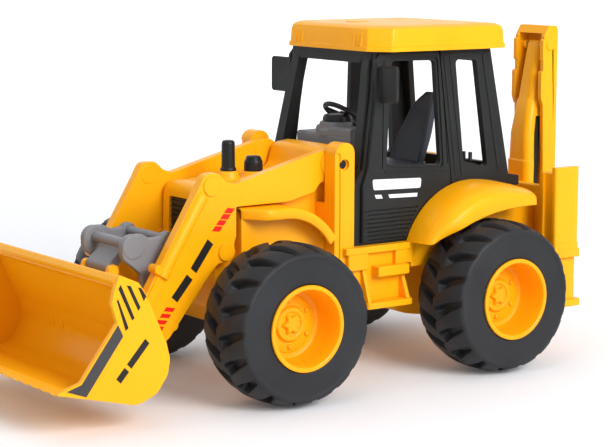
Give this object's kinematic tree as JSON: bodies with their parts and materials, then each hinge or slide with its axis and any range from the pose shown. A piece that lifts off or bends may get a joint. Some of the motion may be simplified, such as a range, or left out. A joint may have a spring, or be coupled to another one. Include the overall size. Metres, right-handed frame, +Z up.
{
  "type": "toy backhoe loader",
  "caption": "Toy backhoe loader with lifting front bucket, open cab, lugged tyres on deep rims, sliding stabilizer legs and a folded swinging rear digger arm.",
  "frame": {"origin": "centre of the bounding box's base, on the ground under the tyres", "axes": "+X forward towards the loader bucket, +Y to the vehicle's left, +Z up"},
  "size_m": [0.419, 0.188, 0.2044],
  "materials": {
    "body_yellow": "moulded, semi-gloss",
    "loader_yellow": "moulded, semi-gloss",
    "backhoe_yellow": "moulded, semi-gloss",
    "rim_yellow": "moulded, semi-gloss",
    "cab_charcoal": "moulded, satin",
    "trim_black": "moulded, satin",
    "seat_slate": "moulded, satin",
    "dash_grey": "moulded, satin",
    "yoke_grey": "moulded, satin",
    "tyre_rubber": "smooth satin side walls",
    "pin_steel": "plain"
  },
  "bodies": {
    "chassis": {"chassis_base": "body_yellow", "platform": "body_yellow", "hood": "body_yellow", "grille": "trim_black", "exhaust_stack": "trim_black", "air_cleaner_cap": "trim_black", "tower_left": "body_yellow", "tower_right": "body_yellow", "tower_pins": "pin_steel", "front_fender_left": "body_yellow", "front_fender_right": "body_yellow", "rear_fender_left": "body_yellow", "rear_fender_right": "body_yellow", "side_step_left": "body_yellow", "side_step_right": "body_yellow", "cab_frame": "cab_charcoal", "door_left": "cab_charcoal", "door_right": "cab_charcoal", "roof": "body_yellow", "mirror_left": "cab_charcoal", "mirror_right": "cab_charcoal", "dashboard": "dash_grey", "steering_wheel": "cab_charcoal", "seat": "seat_slate", "lever_console": "trim_black", "rear_frame": "body_yellow", "stabilizer_casing_left": "body_yellow", "stabilizer_casing_right": "body_yellow", "swing_pin": "pin_steel"},
    "front_wheels": {"axle_front": "pin_steel", "rim_front_left": "rim_yellow", "rim_front_right": "rim_yellow", "tyre_front_left": "tyre_rubber", "tyre_front_right": "tyre_rubber"},
    "rear_wheels": {"axle_rear": "pin_steel", "rim_rear_left": "rim_yellow", "rim_rear_right": "rim_yellow", "tyre_rear_left": "tyre_rubber", "tyre_rear_right": "tyre_rubber"},
    "loader_arms": {"loader_arm_left": "loader_yellow", "loader_arm_right": "loader_yellow", "arm_cross_tube": "loader_yellow", "bucket_pivot_shaft": "pin_steel", "yoke_pivot_shaft": "pin_steel"},
    "bucket": {"loader_bucket": "loader_yellow", "bucket_link_pin": "pin_steel"},
    "yoke": {"tilt_yoke": "yoke_grey", "yoke_front_bar": "yoke_grey"},
    "link": {"tilt_link": "yoke_grey"},
    "swing_post": {"kingpost": "backhoe_yellow", "boom_base_pin": "pin_steel"},
    "boom_arm": {"boom": "backhoe_yellow", "boom_top_pin": "pin_steel"},
    "dipper_arm": {"dipper": "backhoe_yellow", "hoe_bucket_pin": "pin_steel"},
    "digger_bucket": {"hoe_bucket": "backhoe_yellow"},
    "leg_left": {"stabilizer_leg_left": "body_yellow"},
    "leg_right": {"stabilizer_leg_right": "body_yellow"}
  },
  "joints": [
    {"name": "front_wheel_spin", "type": "hinge", "parent": "chassis", "child": "front_wheels", "pos_m": [0.0625, 0, 0.045], "axis": [0, 1, 0], "continuous": true},
    {"name": "rear_wheel_spin", "type": "hinge", "parent": "chassis", "child": "rear_wheels", "pos_m": [-0.0875, 0, 0.045], "axis": [0, 1, 0], "continuous": true},
    {"name": "loader_lift", "type": "hinge", "parent": "chassis", "child": "loader_arms", "pos_m": [0.0035, 0, 0.1255], "axis": [0, -1, 0], "range_deg": [0, 45]},
    {"name": "bucket_tilt", "type": "hinge", "parent": "loader_arms", "child": "bucket", "pos_m": [0.1305, 0, 0.036], "axis": [0, 1, 0], "range_deg": [-20, 40]},
    {"name": "yoke_tilt", "type": "hinge", "parent": "loader_arms", "child": "yoke", "pos_m": [0.1225, 0, 0.05], "axis": [0, 1, 0], "range_deg": [-20, 40]},
    {"name": "link_tilt", "type": "hinge", "parent": "yoke", "child": "link", "pos_m": [0.1285, 0, 0.087], "axis": [0, 1, 0], "range_deg": [-40, 20]},
    {"name": "backhoe_swing", "type": "hinge", "parent": "chassis", "child": "swing_post", "pos_m": [-0.1575, 0, 0.065], "axis": [0, 0, 1], "range_deg": [-50, 50]},
    {"name": "boom_lift", "type": "hinge", "parent": "swing_post", "child": "boom_arm", "pos_m": [-0.1745, 0, 0.06], "axis": [0, -1, 0], "range_deg": [0, 75]},
    {"name": "dipper_fold", "type": "hinge", "parent": "boom_arm", "child": "dipper_arm", "pos_m": [-0.1858, 0, 0.186], "axis": [0, 1, 0], "range_deg": [0, 110]},
    {"name": "digger_bucket_curl", "type": "hinge", "parent": "dipper_arm", "child": "digger_bucket", "pos_m": [-0.1865, 0, 0.084], "axis": [0, 1, 0], "range_deg": [0, 80]},
    {"name": "stabilizer_left_drop", "type": "slide", "parent": "chassis", "child": "leg_left", "axis": [0, 0, -1], "range_m": [0, 0.031]},
    {"name": "stabilizer_right_drop", "type": "slide", "parent": "chassis", "child": "leg_right", "axis": [0, 0, -1], "range_m": [0, 0.031]}
  ],
  "couplings": [
    {"joint": "yoke_tilt", "follows": "bucket_tilt", "ratio": 1},
    {"joint": "link_tilt", "follows": "bucket_tilt", "ratio": -1}
  ]
}
